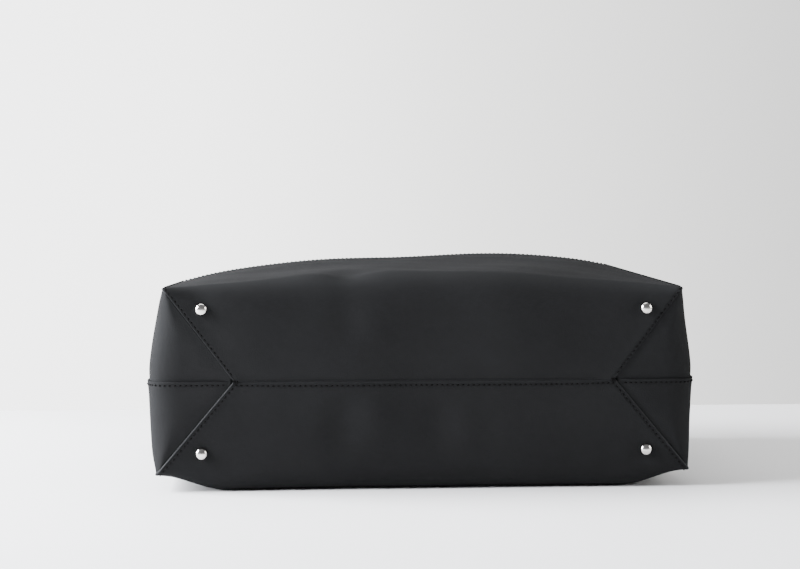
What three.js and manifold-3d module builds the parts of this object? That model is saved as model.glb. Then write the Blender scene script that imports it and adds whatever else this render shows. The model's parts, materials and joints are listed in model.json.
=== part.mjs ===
// A soft leather diaper tote lying on its back: base towards -Y, mouth towards +Y, front panel up.
// Millimetres. The origin is the middle of the flat patch that the back panel rests on.
import * as THREE from 'three';
import { mergeVertices } from 'three/addons/utils/BufferGeometryUtils.js';
import Module from 'manifold-3d';

const wasm = await Module();
wasm.setup();

// Outer shell
const HEIGHT = 300; // base to hem
const BASE_Y = -HEIGHT / 2;
const HEM_Y = HEIGHT / 2;
const HALF_X = 201; // base corner, half width
const SPREAD_X = 2.7; // how much further out the back corners are, and further in the front ones
const HALF_Z = 70; // base corner, half depth
const MID_Z = 83; // centre seam above the table
const RIDGE = 145; // half length of the centre seam between its two junctions
const FLARE = 0.02; // how much wider the hem is than the base
const CORNER_R = 5; // fold at a base corner
const FOLD_R = { front: 30, back: 18, left: 30, right: 30 }; // folds halfway along the base edges
const EDGE_BOW = 11; // outward bow of the front panel at the base
const HEM_BOW = 16; // and at the hem
const SIDE_BOW = 10; // outward bow of a side panel at the base
const SIDE_HEM_BOW = 6; // and at the hem
const FRONT_RISE = { left: -2, right: 14 }; // how much higher a front corner seam is at the hem
const BACK_DROP = 5; // how much lower a back corner seam is there
const FLAT_PART = 0.74; // share of the back panel's width that lies flat

// Layers
const LEATHER = 1.8;
const GAP = 0.4;
const FACING_IN = 2.2;
const FACING_OUT = 3.7;
const LINING_IN = 2.6;
const LINING_OUT = 3.6;
const LINING_LIFT = 7.2; // room for the board and the foot washers under the lining
const FACING_DEPTH = 38;
const FACING_GAP = 1.2; // between a facing and the edge of the strip beside it

// Base fittings
const FOOT_X = 169;
const FOOT_Z = 54;
const FOOT_R = 4.75;
const SHANK_R = 1.8;
const SHANK_HOLE_R = 2.3;
const BOARD = { halfX: 184, halfZ: 58.5, corner: 8, lift: 3, thick: 1.7 };

// Mouth
const ZIP_Z = 88;
const ZIP_Y = 133;
const ZIP_HALF = 184;
const HINGE_REACH = 58.5; // zip line to each panel's hinge line
const PANEL_THICK = 1.6;
const SLIT = 1.6; // half the way that the slider's post runs in
const SLIDER_X = 196; // where the slider parks at either end

// Handles and rings
const FRONT_SPREAD = 76; // half distance between the two ends of the front handle
const BACK_SPREAD = 98;
const HANDLE_R = 6.5;
const DROP = 196; // loop end to the top of the handle's arch
const WIRE = 3.2;
const RING_PITCH = 17; // between the two bars of a handle ring
const RING_WIDTH = 28;
const LOOP_WIDTH = 19;
const LOOP_R = 4.4;
const LOOP_BORE = 2.6;
const NECK = 24; // loop bar to the handle's rolled end
const RING_Y = HEM_Y + 11;
const STRAP_TAB_OUT = 2.1; // middle of the side tab's two layers, out from the side seam

const leather = new THREE.MeshStandardMaterial({ color: 0x1f2022, roughness: 0.55, metalness: 0 });
const fabric = new THREE.MeshStandardMaterial({ color: 0x8d8b88, roughness: 0.9, metalness: 0 });
const metal = new THREE.MeshStandardMaterial({ color: 0xc9cacc, roughness: 0.18, metalness: 1 });
const card = new THREE.MeshStandardMaterial({ color: 0x6b5a45, roughness: 0.95, metalness: 0 });
const tape = new THREE.MeshStandardMaterial({ color: 0x141415, roughness: 0.85, metalness: 0 });

const bag = new THREE.Group();

function add(name, geometry, material, parent = bag) {
  const mesh = new THREE.Mesh(geometry, material.clone());
  mesh.name = name;
  parent.add(mesh);
  return mesh;
}

// A closed solid from points and triangles, turned so that its faces point out.
function closedSolid(points, triangles) {
  let volume = 0;
  for (const [a, b, c] of triangles) {
    volume += points[a].dot(new THREE.Vector3().crossVectors(points[b], points[c]));
  }
  const flat = triangles.flatMap(([a, b, c]) => (volume > 0 ? [a, b, c] : [a, c, b]));
  const geometry = new THREE.BufferGeometry().setFromPoints(points);
  geometry.setIndex(flat);
  geometry.computeVertexNormals();
  return geometry;
}

// A sheet with thickness: two faces over the same grid, joined round their four edges.
function thickSheet(outer, inner, across, along) {
  const points = [];
  for (const face of [outer, inner]) {
    for (let j = 0; j <= along; j += 1) {
      for (let i = 0; i <= across; i += 1) points.push(face(i / across, j / along));
    }
  }
  const at = (k, i, j) => (k * (along + 1) + j) * (across + 1) + i;
  const triangles = [];
  const quad = (a, b, c, d) => triangles.push([a, b, c], [a, c, d]);
  for (let j = 0; j < along; j += 1) {
    for (let i = 0; i < across; i += 1) {
      quad(at(0, i, j), at(0, i + 1, j), at(0, i + 1, j + 1), at(0, i, j + 1));
      quad(at(1, i, j), at(1, i, j + 1), at(1, i + 1, j + 1), at(1, i + 1, j));
    }
    quad(at(0, 0, j), at(0, 0, j + 1), at(1, 0, j + 1), at(1, 0, j));
    quad(at(0, across, j), at(1, across, j), at(1, across, j + 1), at(0, across, j + 1));
  }
  for (let i = 0; i < across; i += 1) {
    quad(at(0, i, 0), at(1, i, 0), at(1, i + 1, 0), at(0, i + 1, 0));
    quad(at(0, i, along), at(0, i + 1, along), at(1, i + 1, along), at(1, i, along));
  }
  return closedSolid(points, triangles);
}

function toManifold(geometry) {
  const bare = geometry.clone();
  bare.deleteAttribute('normal');
  bare.deleteAttribute('uv');
  const merged = mergeVertices(bare, 1e-4);
  return new wasm.Manifold(new wasm.Mesh({
    numProp: 3,
    vertProperties: new Float32Array(merged.attributes.position.array),
    triVerts: new Uint32Array(merged.index.array),
  }));
}

function toGeometry(solid) {
  const mesh = solid.getMesh();
  const geometry = new THREE.BufferGeometry();
  geometry.setAttribute('position', new THREE.BufferAttribute(new Float32Array(mesh.vertProperties), 3));
  geometry.setIndex(new THREE.BufferAttribute(new Uint32Array(mesh.triVerts), 1));
  return geometry;
}

const join = (...parts) => toGeometry(parts.map(toManifold).reduce((a, b) => a.add(b)));
const cut = (whole, ...tools) => toGeometry(tools.map(toManifold).reduce((a, b) => a.subtract(b),
  toManifold(whole)));

const smooth = (t) => {
  const c = Math.min(1, Math.max(0, t));
  return c * c * (3 - 2 * c);
};

// A rounded right-angled fold: how far inside the edge, and how far up the wall, at distance d past it.
function fold(d, radius) {
  if (d <= -radius) return { inn: d, up: 0 };
  if (d >= radius) return { inn: 0, up: d };
  return { inn: -((radius - d) ** 2) / (4 * radius), up: (radius + d) ** 2 / (4 * radius) };
}

const foldRadius = (side, s) => CORNER_R + (FOLD_R[side] - CORNER_R) * (1 - s ** 4);

const seamRise = (s) => FRONT_RISE.left + ((FRONT_RISE.right - FRONT_RISE.left) * (s + 1)) / 2;

// The shell: side is front, back, left or right. s runs from -1 to 1 between the side's two corner
// seams. level is the distance from the base's centre seam, over the base's edge and up the wall.
function shellPoint(side, s, level, inset = 0, lift = 0, softer = 0) {
  const d = level - HALF_Z;
  const corner = fold(d, CORNER_R + softer);
  const own = fold(d, foldRadius(side, s) + softer);
  const spread = Math.sin((Math.PI / 2) * Math.min(1, level / HALF_Z));
  const half = HALF_X - SPREAD_X * ({ front: 1, back: -1 }[side] ?? s);
  const slant = (half - RIDGE) / HALF_Z;
  const y = BASE_Y + lift + own.up;
  const rise = own.up / HEIGHT;
  const flare = 1 + (FLARE * corner.up) / HEIGHT;
  if (side === 'front' || side === 'back') {
    const x = s * (half - inset + slant * corner.inn) * flare;
    if (side === 'front') {
      const low = EDGE_BOW * spread * (1 - s * s) ** 1.2;
      const high = HEM_BOW * (1 - Math.abs(s) ** 3.3) + seamRise(s);
      return new THREE.Vector3(x, y, MID_Z + HALF_Z - inset + own.inn + low + (high - low) * rise);
    }
    const seam = MID_Z - HALF_Z - BACK_DROP * rise;
    const flat = smooth((1 - Math.abs(s)) / (1 - FLAT_PART)) * spread;
    return new THREE.Vector3(x, y, seam * (1 - flat) + inset - own.inn);
  }
  const bow = (SIDE_BOW * spread - (SIDE_BOW - SIDE_HEM_BOW) * rise) * (1 - Math.abs(s) ** 1.6);
  const x = (half - inset + slant * own.inn) * (1 + (FLARE * own.up) / HEIGHT) + bow;
  const top = MID_Z + HALF_Z - inset + corner.inn + (FRONT_RISE[side] * corner.up) / HEIGHT;
  const low = MID_Z - HALF_Z + inset - corner.inn - (BACK_DROP * corner.up) / HEIGHT;
  const z = (top + low) / 2 + (s * (top - low)) / 2;
  return new THREE.Vector3(side === 'left' ? -x : x, y, z);
}

// The same point moved inwards along the surface's own normal.
function skinPoint(side, s, level, depth) {
  const step = 0.5;
  const here = shellPoint(side, s, level);
  const e = step / HALF_X;
  const low = Math.max(-1, s - e);
  const high = Math.min(1, s + e);
  const alongS = shellPoint(side, high, level).sub(shellPoint(side, low, level));
  const alongL = shellPoint(side, s, level + step).sub(shellPoint(side, s, level - step));
  const normal = new THREE.Vector3().crossVectors(alongS, alongL).normalize();
  const inside = new THREE.Vector3(0, BASE_Y + HEIGHT / 3, MID_Z).sub(here);
  return here.addScaledVector(normal, Math.sign(normal.dot(inside)) * depth);
}

// Levels are packed closer round the fold than on the flat.
function levelAt(v, start, end) {
  const stops = [start, 30, 42, 52, 60, 67, 74, 82, 92, 104, 140, 200, 280, end];
  const where = v * (stops.length - 1);
  const i = Math.min(stops.length - 2, Math.floor(where));
  return stops[i] + (stops[i + 1] - stops[i]) * (where - i);
}
const LEVEL_STEPS = 13;
const TOP_LEVEL = HALF_Z + HEIGHT;

function mainPanel(side) {
  const point = (depth) => (u, v) => {
    const level = levelAt(v, 0.2, TOP_LEVEL);
    return skinPoint(side, -1 + 2 * u, level, depth);
  };
  const holes = [-1, 1].map((end) => {
    const drill = new THREE.CylinderGeometry(SHANK_HOLE_R, SHANK_HOLE_R, 10, 12);
    return drill.translate(end * FOOT_X, BASE_Y, MID_Z + (side === 'front' ? FOOT_Z : -FOOT_Z));
  });
  return cut(thickSheet(point(0), point(LEATHER), 20, LEVEL_STEPS), ...holes);
}

// Half of a side panel, between the centre seam and the front (1) or back (-1) corner seam.
function sideHalf(side, half) {
  const point = (depth) => (u, v) => {
    const level = levelAt(v, 3, TOP_LEVEL);
    const reach = Math.min(level, HALF_Z);
    const near = 0.2 / reach;
    const far = 1 - (0.4 + 2.2 * smooth((level - 30) / 32)) / reach;
    return skinPoint(side, half * (near + (far - near) * u), level, depth);
  };
  return thickSheet(point(0), point(LEATHER), 4, LEVEL_STEPS);
}

function band(side, reach, bottom, across) {
  const point = (inset) => (u, v) => shellPoint(side, (2 * u - 1) * reach,
    bottom + (TOP_LEVEL - bottom) * v, inset);
  return thickSheet(point(FACING_IN), point(FACING_OUT), across, 2);
}

function lining(side, reach, start, across) {
  const end = TOP_LEVEL - FACING_DEPTH - LINING_LIFT - (LINING_OUT - LINING_IN) - GAP;
  const point = (inset, lift) => (u, v) => shellPoint(side, (2 * u - 1) * reach,
    levelAt(v, start, end), inset, LINING_LIFT + lift, 4);
  return thickSheet(point(LINING_IN, 0), point(LINING_OUT, LINING_OUT - LINING_IN), across, LEVEL_STEPS);
}

function addShell() {
  add('front_panel', mainPanel('front'), leather);
  add('back_panel', mainPanel('back'), leather);
  for (const side of ['left', 'right']) {
    add(`side_${side}_front`, sideHalf(side, 1), leather);
    add(`side_${side}_back`, sideHalf(side, -1), leather);
    add(`facing_${side}`, band(side, 0.94, TOP_LEVEL - FACING_DEPTH, 6), leather);
    add(`lining_${side}`, lining(side, 0.94, 14, 6), fabric);
  }
  for (const side of ['front', 'back']) {
    add(`facing_${side}`, band(side, 0.97, TOP_LEVEL - FACING_DEPTH, 16), leather);
    add(`lining_${side}`, lining(side, 0.98, LINING_OUT + GAP, 12), fabric);
  }
}

function addFeet() {
  const dome = [[0, -4.2], [1.7, -4], [3.2, -3.2], [4.3, -1.9], [FOOT_R, -0.3]];
  const shank = [[SHANK_R, -0.3], [SHANK_R, 6], [0, 6]];
  const washer = [[2.2, 4.9], [6, 4.9], [6, 6.1], [2.2, 6.1], [2.2, 4.9]];
  const lathe = (outline, steps) => new THREE.LatheGeometry(
    outline.map(([r, y]) => new THREE.Vector2(r, y)), steps);
  for (const [sx, across] of [[-1, 'left'], [1, 'right']]) {
    for (const [sz, up] of [[1, 'front'], [-1, 'back']]) {
      const place = [sx * FOOT_X, BASE_Y, MID_Z + sz * FOOT_Z];
      add(`foot_${up}_${across}`, lathe([...dome, ...shank], 12), metal).position.set(...place);
      add(`foot_washer_${up}_${across}`, lathe(washer, 10), metal).position.set(...place);
    }
  }
}

function addBoard() {
  const { halfX, halfZ, corner } = BOARD;
  const outline = new THREE.Shape();
  outline.moveTo(-halfX + corner, -halfZ);
  outline.lineTo(halfX - corner, -halfZ);
  outline.absarc(halfX - corner, -halfZ + corner, corner, -Math.PI / 2, 0);
  outline.absarc(halfX - corner, halfZ - corner, corner, 0, Math.PI / 2);
  outline.absarc(-halfX + corner, halfZ - corner, corner, Math.PI / 2, Math.PI);
  outline.absarc(-halfX + corner, -halfZ + corner, corner, Math.PI, 1.5 * Math.PI);
  for (const sx of [-1, 1]) {
    for (const sz of [-1, 1]) {
      const hole = new THREE.Path();
      hole.absarc(sx * FOOT_X, sz * FOOT_Z, SHANK_HOLE_R, 0, 2 * Math.PI, true);
      outline.holes.push(hole);
    }
  }
  const plate = new THREE.ExtrudeGeometry(outline, {
    depth: BOARD.thick, bevelEnabled: false, curveSegments: 4,
  });
  const board = add('base_board', plate, card);
  board.rotation.x = Math.PI / 2;
  board.position.set(0, BASE_Y + BOARD.lift + BOARD.thick, MID_Z);
}

// A flat plate whose outline is drawn in X and Z, lying between two heights in Y.
function plateXZ(outline, y, thick) {
  const shape = new THREE.Shape(outline.map(([x, z]) => new THREE.Vector2(x, z)));
  const plate = new THREE.ExtrudeGeometry(shape, { depth: thick, bevelEnabled: false });
  return plate.rotateX(Math.PI / 2).translate(0, y + thick, 0);
}

function boxBetween(low, high) {
  const size = high.map((v, i) => v - low[i]);
  return new THREE.BoxGeometry(...size).translate(...low.map((v, i) => v + size[i] / 2));
}

// The fixed strip between a facing and the hinge line of its zip panel.
function gusset(side) {
  const sign = side === 'front' ? 1 : -1;
  const hinge = ZIP_Z + sign * (HINGE_REACH + 1.1);
  const level = HALF_Z + HEIGHT - HEM_Y + ZIP_Y;
  const steps = 14;
  const edge = [];
  for (let i = 0; i <= steps; i += 1) {
    const x = ZIP_HALF * (1 - (2 * i) / steps);
    const s = x / shellPoint(side, 1, level, FACING_OUT).x;
    edge.push([x, shellPoint(side, s, level, FACING_OUT).z - sign * FACING_GAP]);
  }
  const outline = [[-ZIP_HALF, hinge], [ZIP_HALF, hinge], ...edge];
  return plateXZ(sign > 0 ? outline : outline.reverse(), ZIP_Y, PANEL_THICK);
}

function addZipHalf(side) {
  const sign = side === 'front' ? 1 : -1;
  const strip = (near, far, y, thick, halfX) => {
    const z = [ZIP_Z + sign * near, ZIP_Z + sign * far].sort((a, b) => a - b);
    return boxBetween([-halfX, y, z[0]], [halfX, y + thick, z[1]]);
  };
  add(`zip_gusset_${side}`, gusset(side), leather);
  add(`zip_panel_${side}`, strip(7, HINGE_REACH - 0.9, ZIP_Y, PANEL_THICK, ZIP_HALF), leather);
  add(`zip_tape_${side}`, strip(3.7, 14, ZIP_Y - 1.1, 0.8, ZIP_HALF + 2), tape);
  add(`zip_teeth_${side}`, strip(SLIT, 3.4, ZIP_Y - 1.8, 2.2, ZIP_HALF + 2), metal);
}

// A tape end with a slit for the slider's post, running into the side facing.
function zipEnd(sign) {
  const inner = ZIP_HALF + 2.6;
  const outer = ZIP_HALF + 21.5;
  const slit = ZIP_HALF + 19;
  const outline = [
    [inner, -8], [outer, -8], [outer, 8], [inner, 8],
    [inner, SLIT], [slit, SLIT], [slit, -SLIT], [inner, -SLIT],
  ].map(([x, z]) => [sign * x, ZIP_Z + z]);
  return plateXZ(sign > 0 ? outline : outline.reverse(), ZIP_Y - 1.5, 1.2);
}

function slider() {
  const centre = [SLIDER_X, ZIP_Z];
  const plate = (y, thick) => boxBetween([centre[0] - 6.5, y, centre[1] - 4.8],
    [centre[0] + 6.5, y + thick, centre[1] + 4.8]);
  const post = new THREE.CylinderGeometry(1.3, 1.3, 6, 10).translate(centre[0], ZIP_Y - 0.8, centre[1]);
  const arch = new THREE.Shape();
  arch.moveTo(-5.4, 0);
  arch.lineTo(-3.2, 0);
  arch.lineTo(-3.2, 3.6);
  arch.lineTo(3.2, 3.6);
  arch.lineTo(3.2, 0);
  arch.lineTo(5.4, 0);
  arch.lineTo(4.2, 5.4);
  arch.lineTo(-4.2, 5.4);
  const bridge = new THREE.ExtrudeGeometry(arch, { depth: 2.6, bevelEnabled: false });
  bridge.translate(centre[0], ZIP_Y + 1.8, centre[1] - 1.3);
  return join(plate(ZIP_Y - 3.7, 1.5), plate(ZIP_Y + 0.8, 1.5), post, bridge);
}

const PULL_Y = ZIP_Y + 6.3; // middle of the slider's bridge bar

function pullEye() {
  const outline = new THREE.Shape();
  outline.absarc(0, 0, 3.2, -Math.PI / 2 + 0.3, 1.5 * Math.PI - 0.3);
  outline.lineTo(-0.9, -7);
  outline.lineTo(-1.8, -7);
  outline.lineTo(-1.8, -10.5);
  outline.lineTo(1.8, -10.5);
  outline.lineTo(1.8, -7);
  outline.lineTo(0.9, -7);
  const hole = new THREE.Path();
  hole.absarc(0, 0, 2, 0, 2 * Math.PI, true);
  outline.holes.push(hole);
  const eye = new THREE.ExtrudeGeometry(outline, { depth: 3, bevelEnabled: false, curveSegments: 8 });
  // Shape X to row Y, shape Y to row Z, depth to row X.
  const turn = new THREE.Matrix4().set(0, 0, 1, SLIDER_X - 1.5, 1, 0, 0, PULL_Y, 0, 1, 0, ZIP_Z, 0, 0, 0, 1);
  return eye.applyMatrix4(turn);
}

function addZip() {
  addZipHalf('front');
  addZipHalf('back');
  add('zip_end_left', zipEnd(-1), tape);
  add('zip_end_right', zipEnd(1), tape);
  add('zip_slider', slider(), metal);
  add('zip_pull', pullEye(), metal);
  add('zip_pull_tab', boxBetween([SLIDER_X - 6, PULL_Y - 1.5, ZIP_Z - 50],
    [SLIDER_X + 6, PULL_Y + 1.5, ZIP_Z - 10.8]), leather);
}

// A leather strip folded round a ring's bar: the bar's axis is X, the strip runs along Y.
function foldedLoop(from, to, thick, width) {
  const outline = new THREE.Shape();
  const bite = Math.asin(thick / 2 / LOOP_R);
  const forwards = to > 0;
  const start = forwards ? bite : Math.PI + bite;
  outline.absarc(0, 0, LOOP_R, start, start + 2 * Math.PI - 2 * bite);
  const far = forwards ? to : from;
  const sign = forwards ? 1 : -1;
  outline.lineTo(far, (-sign * thick) / 2);
  outline.lineTo(far, (sign * thick) / 2);
  const hole = new THREE.Path();
  hole.absarc(0, 0, LOOP_BORE, 0, 2 * Math.PI, true);
  outline.holes.push(hole);
  const loop = new THREE.ExtrudeGeometry(outline, { depth: width, bevelEnabled: false, curveSegments: 7 });
  // Shape X to row Y, shape Y to row Z, depth to row X.
  const turn = new THREE.Matrix4().set(0, 0, 1, -width / 2, 1, 0, 0, 0, 0, 1, 0, 0, 0, 0, 0, 1);
  return loop.applyMatrix4(turn);
}

function roundedFrame(width, length, corner, wire) {
  const draw = (path, w, l, r) => {
    path.absarc(w / 2 - r, l / 2 - r, r, 0, Math.PI / 2);
    path.absarc(-w / 2 + r, l / 2 - r, r, Math.PI / 2, Math.PI);
    path.absarc(-w / 2 + r, -l / 2 + r, r, Math.PI, 1.5 * Math.PI);
    path.absarc(w / 2 - r, -l / 2 + r, r, 1.5 * Math.PI, 2 * Math.PI);
    path.closePath();
    return path;
  };
  const outline = draw(new THREE.Shape(), width, length, corner);
  outline.holes.push(draw(new THREE.Path(), width - 2 * wire, length - 2 * wire, corner / 2));
  const frame = new THREE.ExtrudeGeometry(outline, { depth: wire, bevelEnabled: false, curveSegments: 2 });
  return frame.translate(0, length / 2 - wire / 2, -wire / 2);
}

// Handle ends: where the tab's ring bar is, and which way ring and handle lie at rest.
const handles = {
  front: {
    spread: FRONT_SPREAD, ringZ: 160, ringTilt: -75, loopTilt: -62,
    fall: [[0, 0], [0.28, 0.47], [0.58, 0.86], [1, 1]], reach: 150, floor: HANDLE_R + 0.5,
  },
  back: {
    spread: BACK_SPREAD, ringZ: 9.5, ringTilt: -2, loopTilt: -2,
    fall: [[0, 0], [0.28, 0.7], [0.58, 1], [1, 1]], reach: DROP, floor: HANDLE_R + 0.5,
  },
};

const radians = THREE.MathUtils.degToRad;
const along = (origin, tilt, distance) => ({
  y: origin.y + distance * Math.cos(radians(tilt)),
  z: origin.z + distance * Math.sin(radians(tilt)),
});

// The rolled handle: an arch of the given spread that falls from the loops to the table.
function handleRoll(spec) {
  const outerBar = along({ y: RING_Y, z: spec.ringZ }, spec.ringTilt, RING_PITCH);
  const start = along(outerBar, spec.loopTilt, NECK + GAP);
  const lead = along(outerBar, spec.loopTilt, NECK + 14);
  const arch = [[1, 0.12], [0.96, 0.36], [0.86, 0.6], [0.62, 0.82], [0.3, 0.96], [0, 1]];
  const fallAt = (t) => {
    const i = Math.max(0, spec.fall.findIndex(([q]) => q >= t) - 1);
    const [[q0, f0], [q1, f1]] = [spec.fall[i], spec.fall[i + 1]];
    return f0 + ((f1 - f0) * (t - q0)) / (q1 - q0);
  };
  const half = arch.map(([w, t]) => new THREE.Vector3(
    w * spec.spread,
    lead.y + (t - 0.12) / 0.88 * spec.reach,
    lead.z + (spec.floor - lead.z) * fallAt((t - 0.12) / 0.88),
  ));
  const right = [new THREE.Vector3(spec.spread, start.y, start.z), ...half];
  const left = right.slice(0, -1).reverse().map((p) => new THREE.Vector3(-p.x, p.y, p.z));
  const path = new THREE.CatmullRomCurve3([...right, ...left], false, 'centripetal');
  const circle = new THREE.Shape().absarc(0, 0, HANDLE_R, 0, 2 * Math.PI);
  return new THREE.ExtrudeGeometry(circle, { steps: 34, extrudePath: path, curveSegments: 4 });
}

function addHandle(side) {
  const spec = handles[side];
  add(`handle_${side}`, handleRoll(spec), leather);
  for (const [sign, across] of [[-1, 'left'], [1, 'right']]) {
    const x = sign * spec.spread;
    const tab = foldedLoop(-RING_Y + ZIP_Y + PANEL_THICK + 0.6, -1, 3.2, LOOP_WIDTH);
    add(`handle_tab_${side}_${across}`, tab, leather).position.set(x, RING_Y, spec.ringZ);
    const ring = add(`ring_${side}_${across}`, roundedFrame(RING_WIDTH, RING_PITCH + WIRE, 4, WIRE), metal);
    ring.position.set(x, RING_Y, spec.ringZ);
    ring.rotation.x = radians(spec.ringTilt);
    const bar = along({ y: RING_Y, z: spec.ringZ }, spec.ringTilt, RING_PITCH);
    const loop = add(`handle_loop_${side}_${across}`, foldedLoop(0, NECK, 5, LOOP_WIDTH), leather);
    loop.position.set(x, bar.y, bar.z);
    loop.rotation.x = radians(spec.loopTilt);
  }
}

// A side ring for a shoulder strap: its bar runs along Z, the ring lies out past the hem.
function addStrapRing(sign, across) {
  const x = sign * (shellPoint('right', 0, TOP_LEVEL).x + STRAP_TAB_OUT);
  const tab = foldedLoop(-RING_Y + ZIP_Y + PANEL_THICK + 0.6, -1, 3.2, LOOP_WIDTH);
  const ring = roundedFrame(RING_WIDTH, RING_PITCH + WIRE + 3, 5, WIRE);
  for (const [name, shape, finish] of [['strap_tab', tab, leather], ['strap_ring', ring, metal]]) {
    const mesh = add(`${name}_${across}`, shape, finish);
    mesh.rotation.y = Math.PI / 2;
    mesh.position.set(x, RING_Y, ZIP_Z);
  }
}

// A pocket sheet that stands off its lining: sewn down at both sides and the bottom, open at the top.
function pocket(side, spec) {
  const point = (extra) => (u, v) => {
    const s = (2 * u - 1) * spec.half;
    const level = spec.low + (spec.high - spec.low) * v;
    const base = shellPoint(side, s, level, LINING_OUT + 0.8, LINING_LIFT + 1, 4);
    const puff = (1 - (2 * u - 1) ** 4) * smooth(v / spec.toe) * (1 - spec.pinch * v * v);
    const out = spec.depth * puff + extra;
    if (side === 'back') return base.setZ(base.z + out);
    return base.setX(base.x - Math.sign(base.x) * out);
  };
  return thickSheet(point(0), point(1), spec.across, spec.along);
}

function addPockets() {
  const bottle = {
    half: 0.8, low: 98, high: 240, depth: 58, toe: 0.2, pinch: 0.12, across: 12, along: 7,
  };
  const slip = {
    half: 0.55, low: 105, high: 235, depth: 11, toe: 0.25, pinch: 0, across: 12, along: 6,
  };
  add('bottle_pocket_left', pocket('left', bottle), fabric);
  add('bottle_pocket_right', pocket('right', bottle), fabric);
  add('slip_pocket', pocket('back', slip), fabric);
}

addShell();
addFeet();
addBoard();
addZip();
addHandle('front');
addHandle('back');
addStrapRing(-1, 'left');
addStrapRing(1, 'right');
addPockets();

export default bag;
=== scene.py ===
"""A soft leather diaper tote lying on its back, base towards the camera."""
import math

import bpy
import numpy as np
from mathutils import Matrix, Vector
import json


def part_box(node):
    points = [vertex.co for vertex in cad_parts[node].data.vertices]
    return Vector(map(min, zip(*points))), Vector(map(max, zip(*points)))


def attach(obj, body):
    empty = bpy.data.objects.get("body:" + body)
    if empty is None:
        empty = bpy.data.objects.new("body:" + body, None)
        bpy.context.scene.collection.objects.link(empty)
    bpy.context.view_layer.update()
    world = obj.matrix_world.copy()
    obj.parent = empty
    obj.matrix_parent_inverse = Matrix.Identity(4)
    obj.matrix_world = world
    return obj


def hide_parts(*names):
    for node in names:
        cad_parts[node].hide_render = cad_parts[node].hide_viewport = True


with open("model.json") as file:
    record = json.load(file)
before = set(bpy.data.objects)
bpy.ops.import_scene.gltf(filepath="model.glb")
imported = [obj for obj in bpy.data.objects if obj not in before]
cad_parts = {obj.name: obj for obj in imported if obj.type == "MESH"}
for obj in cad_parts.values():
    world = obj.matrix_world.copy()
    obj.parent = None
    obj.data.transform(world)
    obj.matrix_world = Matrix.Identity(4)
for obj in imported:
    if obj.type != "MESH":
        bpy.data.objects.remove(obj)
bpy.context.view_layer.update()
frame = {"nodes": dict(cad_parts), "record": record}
MM = 0.001

# The bag's driving dimensions in millimetres, as in its CAD source
HEIGHT = 300.0
BASE_Y = -HEIGHT / 2
HEM_Y = HEIGHT / 2
HALF_X = 201.0
SPREAD_X = 2.7
HALF_Z = 70.0
MID_Z = 83.0
RIDGE = 145.0
FLARE = 0.02
CORNER_R = 5.0
FOLD_R = {"front": 30.0, "back": 18.0, "left": 30.0, "right": 30.0}
EDGE_BOW = 11.0
HEM_BOW = 16.0
SIDE_BOW = 10.0
SIDE_HEM_BOW = 6.0
FRONT_RISE = {"left": -2.0, "right": 14.0}
BACK_DROP = 5.0
FLAT_PART = 0.74
TOP = HALF_Z + HEIGHT
LINING_LIFT = 7.2
FACING_DEPTH = 38.0
ZIP_Z = 88.0
ZIP_Y = 133.0
ZIP_HALF = 184.0
SLANT = (HALF_X - RIDGE) / HALF_Z
DIAGONAL = 1 / math.hypot(1, SLANT)  # across-the-seam share of a distance along X

# Sewing
SHEET = 1.4  # leather thickness
LAP = 0.75  # how far a lapping edge stands above the surface, and the lapped one below it
FRONT_LAP = 0.5  # the same at the front panel's edges
STITCH = 4.0  # pitch of the topstitching
FINE_STITCH = 0.36  # radius of the thinner thread of straps and zip
SEAM_IN = 2.8  # edge to stitch row
FRONT_IN = 1.7  # the same on the front panel, which is sewn closer to its edge
HEM_IN = 5.0  # hem to its stitch row
GROOVE = 0.3  # how deep a stitch row pulls the leather in, over GROOVE_WIDTH
GROOVE_WIDTH = 0.8
FACING_IN = 3.7  # how far inside the shell the facings' inner face lies
HEM_FACES = (0.25, -4.1)  # outer and inner face of the folded hem, from the shell
HEM_RISE = 2.6  # crown of the fold above them

# Rings, straps and feet
RING_Y = HEM_Y + 11.0  # the bar in each fixed tab
RING_WIDTH = 24.8
RING_PITCH = 17.0  # bar to bar of a handle's ring
WIRE_R = 1.6
STRAP_WIDTH = 19.0
BEND_R = 3.5  # middle of a strap round a bar
TAB_REACH = -25.8
TAB_LAYER = 1.6
LOOP_LAYER = 2.6
FOOT_R = 4.75
FOOT_HEIGHT = 3.9


# ---------- shell surface

def smooth(t):
    c = np.clip(t, 0.0, 1.0)
    return c * c * (3 - 2 * c)


def bell(x, width):
    return np.exp(-((x / width) ** 2))


def unit(v):
    v = np.asarray(v, float)
    return v / np.linalg.norm(v, axis=-1, keepdims=True)


def rounded(d, radius, least=0.0):
    """Share of the full thickness at distance d in from an edge that is rounded over the given radius."""
    return np.sqrt(np.clip(1 - np.clip(1 - d / radius, 0, 1) ** 2, least, 1))


def fold(d, radius):
    """How far inside the edge, and how far up the wall, at distance d past a rounded right-angled fold."""
    inn = np.where(d <= -radius, d, np.where(d >= radius, 0.0, -((radius - d) ** 2) / (4 * radius)))
    up = np.where(d <= -radius, 0.0, np.where(d >= radius, d, (radius + d) ** 2 / (4 * radius)))
    return inn, up


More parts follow.
